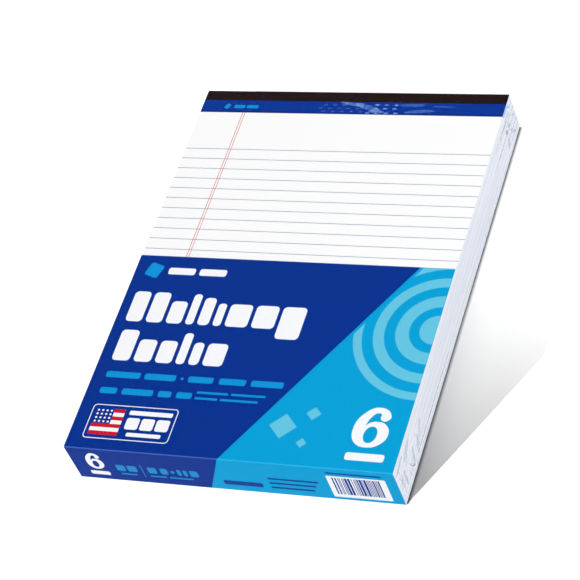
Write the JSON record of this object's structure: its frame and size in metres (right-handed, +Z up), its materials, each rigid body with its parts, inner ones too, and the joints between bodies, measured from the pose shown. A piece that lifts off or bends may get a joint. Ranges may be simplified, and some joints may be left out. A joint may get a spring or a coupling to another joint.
{
  "type": "shrink-wrapped pack of legal pads",
  "caption": "Stack of ruled writing pads, stapled and tape-bound at the head, held in clear shrink film with a printed card folded over the foot end.",
  "frame": {"origin": "middle of the underside of the pack, on the surface it rests on", "axes": "+X across the sheets to the right, +Y from the foot end to the bound head, +Z up through the stack to the front sheet of the top pad"},
  "size_m": [0.2162, 0.2992, 0.0325],
  "materials": {
    "paper": "matte",
    "chipboard": "matte",
    "binding_tape": "satin",
    "staple_wire": "satin",
    "printed_card": "satin",
    "clear_film": "gloss"
  },
  "bodies": {
    "root": {"pad_1_sheets": "paper", "pad_1_backing": "chipboard", "pad_1_tape": "binding_tape", "pad_1_staples": "staple_wire", "pad_2_sheets": "paper", "pad_2_backing": "chipboard", "pad_2_tape": "binding_tape", "pad_2_staples": "staple_wire", "pad_3_sheets": "paper", "pad_3_backing": "chipboard", "pad_3_tape": "binding_tape", "pad_3_staples": "staple_wire", "pad_4_sheets": "paper", "pad_4_backing": "chipboard", "pad_4_tape": "binding_tape", "pad_4_staples": "staple_wire", "pad_5_sheets": "paper", "pad_5_backing": "chipboard", "pad_5_tape": "binding_tape", "pad_5_staples": "staple_wire", "pad_6_sheets": "paper", "pad_6_backing": "chipboard", "pad_6_tape": "binding_tape", "pad_6_staples": "staple_wire", "printed_card": "printed_card", "shrink_film": "clear_film"}
  },
  "joints": []
}
